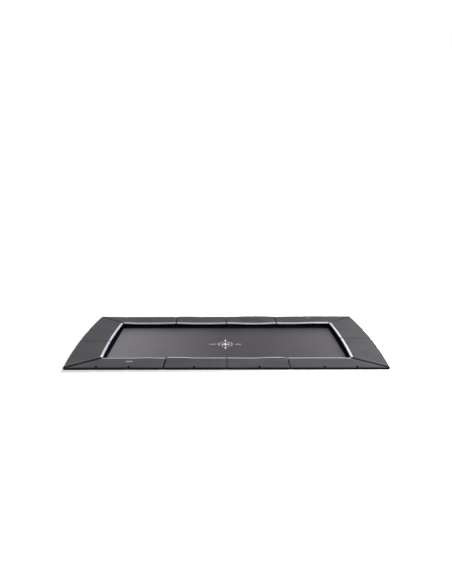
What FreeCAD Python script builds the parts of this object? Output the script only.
import FreeCAD, Part
import math
import os
import Sketcher

# Ground-level rectangular garden trampoline, whose low frame stands in a shallow rebate in the ground
# while its padding lies on the ground round it.
# X runs along the long side, Y across it and +Z up; z = 0 is the underside of the frame's feet and the
# origin is the middle of the footprint. All sizes are millimetres.

DIMENSIONS = {
    # padding: hem = outer edge on the ground, inner = edge over the jumping mat
    "hem_x": 2595, "hem_y": 1525, "pad_width": 480, "end_pad_width": 527, "hem_bow": 70, "inner_bow": 40,
    # mitre_over: share of the mitre's length cut beyond each end; mitre_skin: shift for a skin's thickness
    "pad_joint": 1010, "pad_gap": 1.5, "mitre_over": 0.2, "mitre_skin": 1.5,
    "ground": 58, "pad_thick": 30, "edge_ease": 6, "skin": 2.5,
    "trim_cover": 40, "trim_face": 24, "trim_thick": 1.1, "trim_clear": 0.2,
    # steel frame
    "tube_x": 2455, "tube_y": 1385, "tube_wide": 60, "tube_high": 52, "tube_wall": 2, "tube_low": 5,
    "tube_ease": 7, "tube_inner_ease": 5.5,
    "bend_radius": 120, "corner_leg": 180, "rail_gap": 0.5,
    "sleeve_long": 200, "sleeve_clear": 0.3, "sleeve_wall": 2, "sleeve_ease": 6, "sleeve_inner_ease": 5,
    "bolt_radius": 4, "bolt_offset": 30, "bolt_clear": 0.3, "bolt_end": 2,
    "head_radius": 7, "head_high": 5, "head_gap": 0.2, "nut_clear": 0.1,
    "foot_long": 150, "foot_out": 60, "anchor_radius": 6.5, "anchor_spacing": 100, "anchor_inset": 22,
    "foot_far": 1820, "foot_near": 780,
    # springs and their fastenings
    "spring_pitch": 118, "long_springs": 36, "end_springs": 18,
    "tab_wide": 18, "tab_deep": 20, "tab_thick": 3, "tab_low": 10, "tab_hole": 4, "tab_hole_inset": 8,
    "coil_radius": 9, "wire_radius": 1.6, "coil_start": 60, "coil_long": 165, "spring_long": 257.5,
    "spring_height": 15.2, "hook_deep": 7, "hook_radius": 1.4, "wire_end": 2,
    # jumping mat
    "mat_x": 2135, "mat_y": 1065, "mat_low": 4, "mat_thick": 2, "webbing_wide": 90, "webbing_thick": 1.5,
    # the ring's base bar ends ring_bar inside the mat's edge; its sides narrow to the nose
    "ring_wide": 34, "ring_deep": 30, "ring_wire": 4, "ring_low": 9, "ring_bar": 3, "ring_side": 4.5,
    "nose_half": 6, "nose_inner_half": 3,
    # the webbing loop: slot round the bar from loop_out outside the mat's edge to loop_in inside it
    "loop_wide": 18, "loop_thick": 1.4, "loop_clear": 0.3, "loop_out": 3, "loop_in": 5, "loop_slope": 4,
    "loop_lead": 3, "loop_sewn": 46,
    # elastic pad straps
    "strap_wide": 20, "strap_thick": 1.5, "strap_pitch": 520, "strap_inset": 6,
    "strap_foot": 14, "strap_gap": 0.2, "strap_tube_gap": 0.3, "strap_wrap": 4, "strap_slope": 5,
}

doc = FreeCAD.newDocument("trampoline")
sheet = doc.addObject("Spreadsheet::Sheet", "sheet")
for row, (name, value) in enumerate(DIMENSIONS.items(), 1):
    sheet.set(f"A{row}", name)
    sheet.set(f"B{row}", str(value))
    sheet.setAlias(f"B{row}", name)
doc.recompute()

exported = []


def dims(expression):
    """Write an expression's dimension names as cells of the sheet."""
    text = expression
    for name in sorted(DIMENSIONS, key=len, reverse=True):
        text = text.replace(f"<{name}>", f"sheet.{name}")
    return text


def new_body(name):
    body = doc.addObject("PartDesign::Body", name)
    body.AllowCompound = True
    return body


def export(item, label):
    item.Label = label
    exported.append(item)
    return item


def place(item, turn=0, at=(0, 0, 0)):
    """Turn about the vertical, then move."""
    turning = FreeCAD.Rotation(FreeCAD.Vector(0, 0, 1), turn)
    item.Placement = FreeCAD.Placement(FreeCAD.Vector(*at), turning)


def new_sketch(body, role, offset="0"):
    """A sketch on one of the body's origin planes, moved along the plane's normal by an expression."""
    sketch = body.newObject("Sketcher::SketchObject", f"{body.Name}_sketch")
    plane = next(feature for feature in body.Origin.OriginFeatures if feature.Role == role)
    sketch.AttachmentSupport = [(plane, "")]
    sketch.MapMode = "FlatFace"
    sketch.setExpression(".AttachmentOffset.Base.z", dims(offset))
    return sketch


def add_polygon(sketch, points):
    """Closed outline whose corners are pairs of expressions."""
    cells = [(dims(across), dims(up)) for across, up in points]
    corners = [FreeCAD.Vector(float(sketch.evalExpression(across)), float(sketch.evalExpression(up)), 0)
               for across, up in cells]
    first = sketch.GeometryCount
    count = len(corners)
    for index in range(count):
        sketch.addGeometry(Part.LineSegment(corners[index], corners[(index + 1) % count]), False)
    for index in range(count):
        here = first + index
        following = first + (index + 1) % count
        sketch.addConstraint(Sketcher.Constraint("Coincident", here, 2, following, 1))
    for index, (across, up) in enumerate(cells):
        for kind, value, expression in (("DistanceX", corners[index].x, across),
                                        ("DistanceY", corners[index].y, up)):
            number = sketch.addConstraint(Sketcher.Constraint(kind, -1, 1, first + index, 1, value))
            sketch.setExpression(f"Constraints[{number}]", expression)


def add_circle(sketch, across, up, radius):
    cells = [dims(part) for part in (across, up, radius)]
    x, y, size = (float(sketch.evalExpression(cell)) for cell in cells)
    circle = sketch.addGeometry(Part.Circle(FreeCAD.Vector(x, y, 0), FreeCAD.Vector(0, 0, 1), size), False)
    constraints = (("DistanceX", (-1, 1, circle, 3, x)), ("DistanceY", (-1, 1, circle, 3, y)),
                   ("Radius", (circle, size)))
    for (kind, values), cell in zip(constraints, cells):
        number = sketch.addConstraint(Sketcher.Constraint(kind, *values))
        sketch.setExpression(f"Constraints[{number}]", cell)


def box_points(low_x, high_x, low_y, high_y):
    return [(low_x, low_y), (high_x, low_y), (high_x, high_y), (low_x, high_y)]


def pad(body, sketch, length, backwards=False, both_ways=False):
    feature = body.newObject("PartDesign::Pad", f"{body.Name}_pad")
    feature.Profile = sketch
    feature.setExpression("Length", dims(length))
    feature.Reversed = backwards
    feature.Midplane = both_ways
    return feature


def pocket(body, sketch):
    """Cut right through, both ways from the sketch's plane."""
    feature = body.newObject("PartDesign::Pocket", f"{body.Name}_pocket")
    feature.Profile = sketch
    feature.Type = "ThroughAll"
    feature.Midplane = True
    return feature


def revolve(body, sketch, angle=360):
    """Turn a sketch of the XZ plane about the vertical axis."""
    feature = body.newObject("PartDesign::Revolution", f"{body.Name}_revolution")
    feature.Profile = sketch
    feature.ReferenceAxis = (sketch, ["V_Axis"])
    feature.Angle = angle
    return feature


def loft(body, sketches):
    feature = body.newObject("PartDesign::AdditiveLoft", f"{body.Name}_loft")
    feature.Profile = sketches[0]
    feature.Sections = sketches[1:]
    return feature


def repeat(body, originals, count, step):
    """Copies along the body's X axis: count and step are expressions."""
    feature = body.newObject("PartDesign::LinearPattern", f"{body.Name}_pattern")
    feature.Originals = originals
    axis = next(item for item in body.Origin.OriginFeatures if item.Role == "X_Axis")
    feature.Direction = (axis, [""])
    feature.Mode = "Spacing"
    feature.setExpression("Offset", dims(step))
    feature.setExpression("Occurrences", dims(count))
    body.Tip = feature
    return feature


# ---------------------------------------------------------------- padding sections

PAD_TOP = "(<ground> + <pad_thick>)"


def slab_section(hem, inner, inset):
    """A flat pad across its width, from the hem on the ground to the edge over the mat, corners eased."""
    outer = f"({hem} - {inset})"
    near = f"({inner} + {inset})"
    low = f"(<ground> + {inset})"
    top = f"({PAD_TOP} - {inset})"
    ease = "<edge_ease>"
    return [(outer, low), (outer, f"{top} - {ease}"), (f"{outer} - {ease}", top), (f"{near} + {ease}", top),
            (near, f"{top} - {ease}"), (near, f"{low} + {ease}"), (f"{near} + {ease}", low)]


def cover_section(hem, inner):
    return slab_section(hem, inner, "0")


def foam_section(hem, inner):
    return slab_section(hem, inner, "<skin>")


def trim_section(hem, inner):
    """The pale border strip, lapped over the top and the inner face of a pad."""
    bend, ease = f"{PAD_TOP} - <edge_ease>", f"{inner} + <edge_ease>"
    face, top = f"{inner} - <trim_clear>", f"{PAD_TOP} + <trim_clear>"
    edge = f"{inner} + <trim_cover>"
    lowest = f"{PAD_TOP} - <trim_face>"
    return [(edge, top), (edge, f"{top} + <trim_thick>"), (ease, f"{top} + <trim_thick>"),
            (f"{face} - <trim_thick>", bend), (f"{face} - <trim_thick>", lowest), (face, lowest),
            (face, bend), (ease, top)]


def mitre_ends(back):
    """X of the mitre's inner and outer ends, past the inner corner and past the hem's corner."""
    return (f"(<hem_x> - <end_pad_width> * (1 + <mitre_over>) - {back})",
            f"(<hem_x> + <end_pad_width> * <mitre_over> - {back})")


def cut_mitre_from_long(body, side, inset):
    """Take off a long pad's end along the line from the inner corner to the hem's corner."""
    sketch = new_sketch(body, "XY_Plane")
    near, far = mitre_ends(f"(<pad_gap> + <mitre_skin> * {inset})")
    beyond = "(<hem_x> + <end_pad_width>)"
    inner_y = "-<hem_y> + <pad_width> * (1 + <mitre_over>)"
    outer_y = "-<hem_y> - <pad_width> * <mitre_over>"
    add_polygon(sketch, [(f"{side} * {near}", inner_y), (f"{side} * {far}", outer_y),
                         (f"{side} * {beyond}", outer_y), (f"{side} * {beyond}", inner_y)])
    pocket(body, sketch)


def cut_mitre_from_end(body, side, inset):
    """Take off an end pad's corner along the same line."""
    sketch = new_sketch(body, "XY_Plane")
    near, far = mitre_ends("0")
    back = f"(<pad_gap> + <mitre_skin> * {inset})"
    outside = f"{side} * (<hem_y> + <pad_width> * <mitre_over> - {back})"
    add_polygon(sketch, [(near, f"{side} * (<hem_y> - <pad_width> * (1 + <mitre_over>) - {back})"),
                         (far, outside), (near, outside)])
    pocket(body, sketch)


def mirrored_x(points):
    """Sections are drawn from a side's outside inwards; the front side's outside is -Y."""
    return [(f"-({across})", up) for across, up in points]


def long_pad_body(name, section, side, inset):
    """side -1, 0 or 1: left, centre or right pad of the front side. inset shortens both ends."""
    body = new_body(name)
    points = mirrored_x(section("<hem_y>", "(<hem_y> - <pad_width>)"))
    if side == 0:
        sketch = new_sketch(body, "YZ_Plane")
        add_polygon(sketch, points)
        pad(body, sketch, f"2 * (<pad_joint> - <pad_gap> - {inset})", both_ways=True)
    else:
        sketch = new_sketch(body, "YZ_Plane", f"{side} * (<pad_joint> + <pad_gap> + {inset})")
        add_polygon(sketch, points)
        pad(body, sketch, f"<hem_x> - <pad_joint> - <pad_gap> - {inset}", backwards=side < 0)
        doc.recompute()
        cut_mitre_from_long(body, side, inset)
    return body


def end_pad_body(name, section, inset):
    """The right-hand pad: hem and inner edge bow outwards, so three sections are lofted."""
    body = new_body(name)
    inner_end = ("(<hem_x> - <end_pad_width> + <inner_bow>"
                 " - <inner_bow> * (<hem_y> / (<hem_y> - <pad_width>)) ^ 2)")
    stations = (("-1", "<hem_x>", inner_end),
                ("0", "(<hem_x> + <hem_bow>)", "(<hem_x> - <end_pad_width> + <inner_bow>)"),
                ("1", "<hem_x>", inner_end))
    sketches = []
    for where, hem, inner in stations:
        # the XZ plane's normal points to -Y
        sketch = new_sketch(body, "XZ_Plane", f"-({where}) * <hem_y>")
        add_polygon(sketch, section(hem, inner))
        sketches.append(sketch)
    doc.recompute()
    loft(body, sketches)
    doc.recompute()
    for side in (-1, 1):
        cut_mitre_from_end(body, side, inset)
    return body


def make_pad(label, builder, turn):
    """A hollow cover, the foam core inside it and the border strip on its inner edge."""
    blank = builder(f"{label}_blank", cover_section, "0")
    foam = builder(f"{label}_foam", foam_section, "<skin>")
    trim = builder(f"{label}_trim", trim_section, "0")
    for item in (blank, foam, trim):
        place(item, turn)
    cover = doc.addObject("Part::Cut", f"{label}_cover")
    cover.Base = blank
    cover.Tool = foam
    export(cover, f"{label}_cover")
    export(foam, f"{label}_foam")
    export(trim, f"{label}_trim")


def make_padding():
    for side_name, turn in (("front", 0), ("back", 180)):
        for side, name in ((-1, "left"), (0, "centre"), (1, "right")):
            # turned half round, the left pad comes to the right
            seen_name = name if turn == 0 else {"left": "right", "right": "left"}.get(name, name)
            make_pad(f"{side_name}_{seen_name}_pad",
                     lambda label, section, inset, end=side: long_pad_body(label, section, end, inset), turn)
    for end_name, turn in (("right", 0), ("left", 180)):
        make_pad(f"{end_name}_end_pad", end_pad_body, turn)


# ---------------------------------------------------------------- steel frame

def tube_outline(centre):
    """Outer and inner outlines of the tube's section, its corners eased."""
    outlines = []
    for wall, ease in (("0", "<tube_ease>"), ("<tube_wall>", "<tube_inner_ease>")):
        half = f"(<tube_wide> / 2 - {wall})"
        low = f"(<tube_low> + {wall})"
        high = f"(<tube_low> + <tube_high> - {wall})"
        left = f"({centre} - {half})"
        right = f"({centre} + {half})"
        outlines.append([(f"{left} + {ease}", low), (f"{right} - {ease}", low), (right, f"{low} + {ease}"),
                         (right, f"{high} - {ease}"), (f"{right} - {ease}", high), (f"{left} + {ease}", high),
                         (left, f"{high} - {ease}"), (left, f"{low} + {ease}")])
    return outlines


def add_tube_section(sketch, centre):
    for outline in tube_outline(centre):
        add_polygon(sketch, outline)


def cut_bolt_holes(body, role, centres):
    """Clearance holes across the tube; role names the plane that they are drilled square to."""
    sketch = new_sketch(body, role)
    for centre in centres:
        add_circle(sketch, centre, "<tube_low> + <tube_high> / 2", "<bolt_radius> + <bolt_clear>")
    doc.recompute()
    pocket(body, sketch)


def make_corner_tube(label, side_x, side_y, turn):
    """A 90 degree bend about the body's own origin, with a straight leg at each end."""
    body = new_body(label)
    along = new_sketch(body, "XZ_Plane")
    add_tube_section(along, "<bend_radius>")
    doc.recompute()
    revolve(body, along, 90)
    pad(body, along, "<corner_leg> - <rail_gap>")
    across = new_sketch(body, "YZ_Plane")
    add_tube_section(across, "<bend_radius>")
    doc.recompute()
    pad(body, across, "<corner_leg> - <rail_gap>", backwards=True)
    for role in ("XZ_Plane", "YZ_Plane"):
        cut_bolt_holes(body, role, ["-<corner_leg> + <bolt_offset>"])
    centre_x = side_x * (DIMENSIONS["tube_x"] - DIMENSIONS["bend_radius"])
    centre_y = side_y * (DIMENSIONS["tube_y"] - DIMENSIONS["bend_radius"])
    place(body, turn, at=(centre_x, centre_y, 0))
    export(body, label)


def make_rail(label, joint_to_joint, turn, distance, along=0):
    """A straight rail, drawn along X at y = 0 and turned to its side of the frame."""
    body = new_body(label)
    sketch = new_sketch(body, "YZ_Plane")
    add_tube_section(sketch, "0")
    pad(body, sketch, f"{joint_to_joint} - 2 * <rail_gap>", both_ways=True)
    cut_bolt_holes(body, "XZ_Plane", [f"{side} * ({joint_to_joint} / 2 - <bolt_offset>)" for side in (-1, 1)])
    place_on_side(body, turn, distance, along)
    export(body, label)


def place_on_side(item, turn, distance, along=0, up=0):
    """turn 0 is the front side, 90 the right, 180 the back, 270 the left; the side's outside is -Y."""
    turning = FreeCAD.Rotation(FreeCAD.Vector(0, 0, 1), turn)
    where = turning.multVec(FreeCAD.Vector(along, -distance, up))
    place(item, turn, (where.x, where.y, where.z))


def corner_reach():
    """From the corner of the tube's centre line to the end of a corner tube's leg."""
    return DIMENSIONS["bend_radius"] + DIMENSIONS["corner_leg"]


def frame_joints():
    """Each tube joint as side, distance of that side and place along it."""
    long_half = DIMENSIONS["tube_x"] - corner_reach()
    end_half = DIMENSIONS["tube_y"] - corner_reach()
    joints = []
    for turn, distance, half, places in ((0, "tube_y", long_half, (-1, -1 / 3, 1 / 3, 1)),
                                         (180, "tube_y", long_half, (-1, -1 / 3, 1 / 3, 1)),
                                         (90, "tube_x", end_half, (-1, 1)), (270, "tube_x", end_half, (-1, 1))):
        for share in places:
            joints.append((turn, DIMENSIONS[distance], half * share))
    return joints


def compound(label, pieces):
    group = doc.addObject("Part::Compound", label)
    group.Links = pieces
    export(group, label)


def make_frame():
    for label, side_x, side_y, turn in (("back_right_corner_tube", 1, 1, 0), ("back_left_corner_tube", -1, 1, 90),
                                        ("front_left_corner_tube", -1, -1, 180),
                                        ("front_right_corner_tube", 1, -1, 270)):
        make_corner_tube(label, side_x, side_y, turn)
    long_rail = "((2 * (<tube_x> - <bend_radius> - <corner_leg>)) / 3)"
    end_rail = "(2 * (<tube_y> - <bend_radius> - <corner_leg>))"
    third = 2 * (DIMENSIONS["tube_x"] - corner_reach()) / 3
    for side_name, turn in (("front", 0), ("back", 180)):
        for step, name in ((-1, "left"), (0, "centre"), (1, "right")):
            along = third * (step if turn == 0 else -step)
            make_rail(f"{side_name}_{name}_rail", long_rail, turn, DIMENSIONS["tube_y"], along)
    for side_name, turn in (("right", 90), ("left", 270)):
        make_rail(f"{side_name}_end_rail", end_rail, turn, DIMENSIONS["tube_x"])
    make_joint_hardware()
    make_feet()


def make_sleeve():
    """Square-section liner that slides into both tubes of a joint."""
    body = new_body("sleeve")
    sketch = new_sketch(body, "YZ_Plane")
    half = "(<tube_wide> / 2 - <tube_wall> - <sleeve_clear>)"
    low = "(<tube_low> + <tube_wall> + <sleeve_clear>)"
    high = "(<tube_low> + <tube_high> - <tube_wall> - <sleeve_clear>)"
    for wall, ease in (("0", "<sleeve_ease>"), ("<sleeve_wall>", "<sleeve_inner_ease>")):
        left, right = f"-{half} + {wall}", f"{half} - {wall}"
        bottom, top = f"{low} + {wall}", f"{high} - {wall}"
        add_polygon(sketch, [(f"{left} + {ease}", bottom), (f"{right} - {ease}", bottom),
                             (right, f"{bottom} + {ease}"), (right, f"{top} - {ease}"),
                             (f"{right} - {ease}", top), (f"{left} + {ease}", top),
                             (left, f"{top} - {ease}"), (left, f"{bottom} + {ease}")])
    pad(body, sketch, "<sleeve_long>", both_ways=True)
    cut_bolt_holes(body, "XZ_Plane", ["-<bolt_offset>", "<bolt_offset>"])
    return body


def hexagon(centre, radius):
    """Six corners about a bolt's axis, as expressions."""
    corners = [(math.cos(math.radians(60 * step)), math.sin(math.radians(60 * step))) for step in range(6)]
    return [(f"{centre} + {across:.6f} * <{radius}>", f"<tube_low> + <tube_high> / 2 + {up:.6f} * <{radius}>")
            for across, up in corners]


def make_bolt(centre):
    """Hexagon head on the tube's outer face and a shank right through to the nut."""
    body = new_body("bolt")
    head = new_sketch(body, "XZ_Plane", "<tube_wide> / 2 + <head_gap>")
    add_polygon(head, hexagon(centre, "head_radius"))
    pad(body, head, "<head_high>")
    shank = new_sketch(body, "XZ_Plane", "<tube_wide> / 2 + <head_gap>")
    add_circle(shank, centre, "<tube_low> + <tube_high> / 2", "<bolt_radius>")
    pad(body, shank, "<tube_wide> + <head_high> + <bolt_end>", backwards=True)
    return body


def make_nut(centre):
    body = new_body("nut")
    ring = new_sketch(body, "XZ_Plane", "-<tube_wide> / 2 - <head_gap>")
    add_polygon(ring, hexagon(centre, "head_radius"))
    add_circle(ring, centre, "<tube_low> + <tube_high> / 2", "<bolt_radius> + <nut_clear>")
    pad(body, ring, "<head_high>", backwards=True)
    return body


def make_joint_hardware():
    sleeves = []
    bolts = []
    nuts = []
    for turn, distance, along in frame_joints():
        for group, piece in ((sleeves, make_sleeve()), (bolts, make_bolt("-<bolt_offset>")),
                             (bolts, make_bolt("<bolt_offset>")), (nuts, make_nut("-<bolt_offset>")),
                             (nuts, make_nut("<bolt_offset>"))):
            place_on_side(piece, turn, distance, along)
            group.append(piece)
    compound("joint_sleeves", sleeves)
    compound("joint_bolts", bolts)
    compound("joint_nuts", nuts)


def make_feet():
    """Plates under the tube with two anchor holes each, clear of the straps."""
    feet = []
    for turn, distance, places in ((0, "tube_y", ("foot_far", "foot_near")), (90, "tube_x", ("foot_near",)),
                                   (180, "tube_y", ("foot_far", "foot_near")), (270, "tube_x", ("foot_near",))):
        for along in places:
            for side in (-1, 1):
                foot = new_body("foot")
                plate = new_sketch(foot, "XY_Plane")
                outer = "-<tube_wide> / 2 - <foot_out>"
                add_polygon(plate, box_points("-<foot_long> / 2", "<foot_long> / 2", outer, "<tube_wide> / 2"))
                for hole in (-1, 1):
                    add_circle(plate, f"{hole} * <anchor_spacing> / 2", f"{outer} + <anchor_inset>",
                               "<anchor_radius>")
                pad(foot, plate, "<tube_low>")
                place_on_side(foot, turn, DIMENSIONS[distance], side * DIMENSIONS[along])
                feet.append(foot)
    compound("anchor_feet", feet)


# ---------------------------------------------------------------- springs and mat

SIDES = (("front", 0, "y", "long_springs"), ("right", 90, "x", "end_springs"),
         ("back", 180, "y", "long_springs"), ("left", 270, "x", "end_springs"))


def first_place(count):
    return f"-(<{count}> - 1) * <spring_pitch> / 2"


def make_hook_tab(body, count):
    """A holed tab, welded to the tube's inner face."""
    sketch = new_sketch(body, "XY_Plane", "<tab_low>")
    first = first_place(count)
    add_polygon(sketch, box_points(f"{first} - <tab_wide> / 2", f"{first} + <tab_wide> / 2", "0", "<tab_deep>"))
    add_circle(sketch, first, "<tab_deep> - <tab_hole_inset>", "<tab_hole>")
    return [pad(body, sketch, "<tab_thick>")]


def make_spring(body, count):
    """Coil envelope on a straight wire, with a hook down through the tab and one down into the ring."""
    first = first_place(count)
    coil = new_sketch(body, "XZ_Plane", "-<coil_start>")
    add_circle(coil, first, "0", "<coil_radius>")
    wire = new_sketch(body, "XZ_Plane", "<wire_end>")
    add_circle(wire, first, "0", "<wire_radius>")
    features = [pad(body, wire, "<spring_long> + 2 * <wire_end>", backwards=True),
                pad(body, coil, "<coil_long>", backwards=True)]
    for along in ("0", "<spring_long>"):
        hook = new_sketch(body, "XY_Plane", "-<hook_deep>")
        add_circle(hook, first, along, "<hook_radius>")
        features.append(pad(body, hook, "<hook_deep>"))
    doc.recompute()
    return features


def make_ring(body, count):
    """Triangular wire ring: its base bar lies in the webbing loop, its nose takes the spring's hook."""
    first = first_place(count)
    sketch = new_sketch(body, "XY_Plane", "<ring_low>")
    bar, nose = "<ring_bar>", "(<ring_bar> - <ring_deep>)"
    for inset, base_half, nose_half in (("0", "<ring_wide> / 2", "<nose_half>"),
                                        ("<ring_wire>", "(<ring_wide> / 2 - <ring_side>)", "<nose_inner_half>")):
        add_polygon(sketch, [(f"{first} - {base_half}", f"{bar} - {inset}"),
                             (f"{first} + {base_half}", f"{bar} - {inset}"),
                             (f"{first} + {nose_half}", f"{nose} + {inset}"),
                             (f"{first} - {nose_half}", f"{nose} + {inset}")])
    return [pad(body, sketch, "<ring_wire>")]


def make_loop(body, count):
    """Webbing strap sewn to the mat's edge and folded round the ring's base bar."""
    sketch = new_sketch(body, "YZ_Plane", first_place(count))
    sewn = "(<mat_low> + <mat_thick> + <webbing_thick>)"
    below, above = "(<ring_low> - <loop_clear>)", "(<ring_low> + <ring_wire> + <loop_clear>)"
    outside, inside = "-<loop_out>", "<loop_in>"
    add_polygon(sketch, [("<loop_sewn>", sewn), ("<loop_sewn>", f"{sewn} + <loop_thick>"),
                         (f"{inside} + <loop_lead> + <loop_slope>", f"{sewn} + <loop_thick>"),
                         (f"{inside} + <loop_lead>", f"{above} + <loop_thick>"),
                         (f"{outside} - <loop_thick>", f"{above} + <loop_thick>"),
                         (f"{outside} - <loop_thick>", f"{below} - <loop_thick>"), ("0", sewn)])
    add_polygon(sketch, box_points(outside, inside, below, above))
    return [pad(body, sketch, "<loop_wide>", both_ways=True)]


def make_springs_and_mat():
    rings = []
    loops = []
    for side_name, turn, axis, count in SIDES:
        tube_inside = DIMENSIONS[f"tube_{axis}"] - DIMENSIONS["tube_wide"] / 2
        mat_edge = DIMENSIONS[f"mat_{axis}"]
        tabs = new_body(f"{side_name}_tabs")
        repeat(tabs, make_hook_tab(tabs, count), f"<{count}>", "<spring_pitch>")
        place_on_side(tabs, turn, tube_inside)
        export(tabs, f"{side_name}_hook_tabs")

        springs = new_body(f"{side_name}_springs")
        repeat(springs, make_spring(springs, count), f"<{count}>", "<spring_pitch>")
        hook_place = tube_inside - DIMENSIONS["tab_deep"] + DIMENSIONS["tab_hole_inset"]
        place_on_side(springs, turn, hook_place, up=DIMENSIONS["spring_height"])
        export(springs, f"{side_name}_springs")

        ring = new_body(f"{side_name}_rings")
        repeat(ring, make_ring(ring, count), f"<{count}>", "<spring_pitch>")
        place_on_side(ring, turn, mat_edge)
        rings.append(ring)
        loop = new_body(f"{side_name}_loops")
        repeat(loop, make_loop(loop, count), f"<{count}>", "<spring_pitch>")
        place_on_side(loop, turn, mat_edge)
        loops.append(loop)
    compound("v_rings", rings)
    compound("webbing_loops", loops)

    mat = new_body("mat")
    outline = new_sketch(mat, "XY_Plane", "<mat_low>")
    add_polygon(outline, box_points("-<mat_x>", "<mat_x>", "-<mat_y>", "<mat_y>"))
    pad(mat, outline, "<mat_thick>")
    export(mat, "jumping_mat")

    webbing = new_body("webbing")
    border = new_sketch(webbing, "XY_Plane", "<mat_low> + <mat_thick>")
    add_polygon(border, box_points("-<mat_x>", "<mat_x>", "-<mat_y>", "<mat_y>"))
    add_polygon(border, box_points("-<mat_x> + <webbing_wide>", "<mat_x> - <webbing_wide>",
                                   "-<mat_y> + <webbing_wide>", "<mat_y> - <webbing_wide>"))
    pad(webbing, border, "<webbing_thick>")
    export(webbing, "edge_webbing")


def make_straps():
    """Elastic straps from under the pads' hems down to the outer face of the frame tube."""
    for side_name, turn, axis, places in (("front", 0, "y", 9), ("right", 90, "x", 3),
                                          ("back", 180, "y", 9), ("left", 270, "x", 3)):
        body = new_body(f"{side_name}_straps")
        outline = new_sketch(body, "YZ_Plane", f"-({places} - 1) / 2 * <strap_pitch>")
        hem = f"(-<hem_{axis}> + <tube_{axis}> + <strap_inset>)"
        tube = "(-<tube_wide> / 2 - <strap_tube_gap>)"
        low = "(<tube_low> + <strap_foot>)"
        top = "(<ground> - <strap_gap>)"
        add_polygon(outline, [(hem, top), (hem, f"{top} - <strap_thick>"), (f"{tube} - <strap_thick>", low),
                              (tube, low), (tube, f"{low} + <strap_wrap>"), (f"{hem} + <strap_slope>", top)])
        strap = pad(body, outline, "<strap_wide>", both_ways=True)
        repeat(body, [strap], str(places), "<strap_pitch>")
        place_on_side(body, turn, DIMENSIONS[f"tube_{axis}"])
        export(body, f"{side_name}_pad_straps")


make_frame()
make_springs_and_mat()
make_padding()
make_straps()
doc.recompute()

faults = [f"{item.Label}: {item.State}" for item in doc.Objects if {"Invalid", "Error"} & set(item.State)]
faults += [f"{item.Label}: bad shape" for item in exported if item.Shape.isNull() or not item.Shape.isValid()]
if faults:
    raise SystemExit("\n".join(faults))

os.makedirs("parts", exist_ok=True)
for item in exported:
    item.Shape.exportStep(f"parts/{item.Label}.step")
    print(item.Label, len(item.Shape.Solids), round(item.Shape.Volume / 1000, 1), item.Shape.BoundBox)
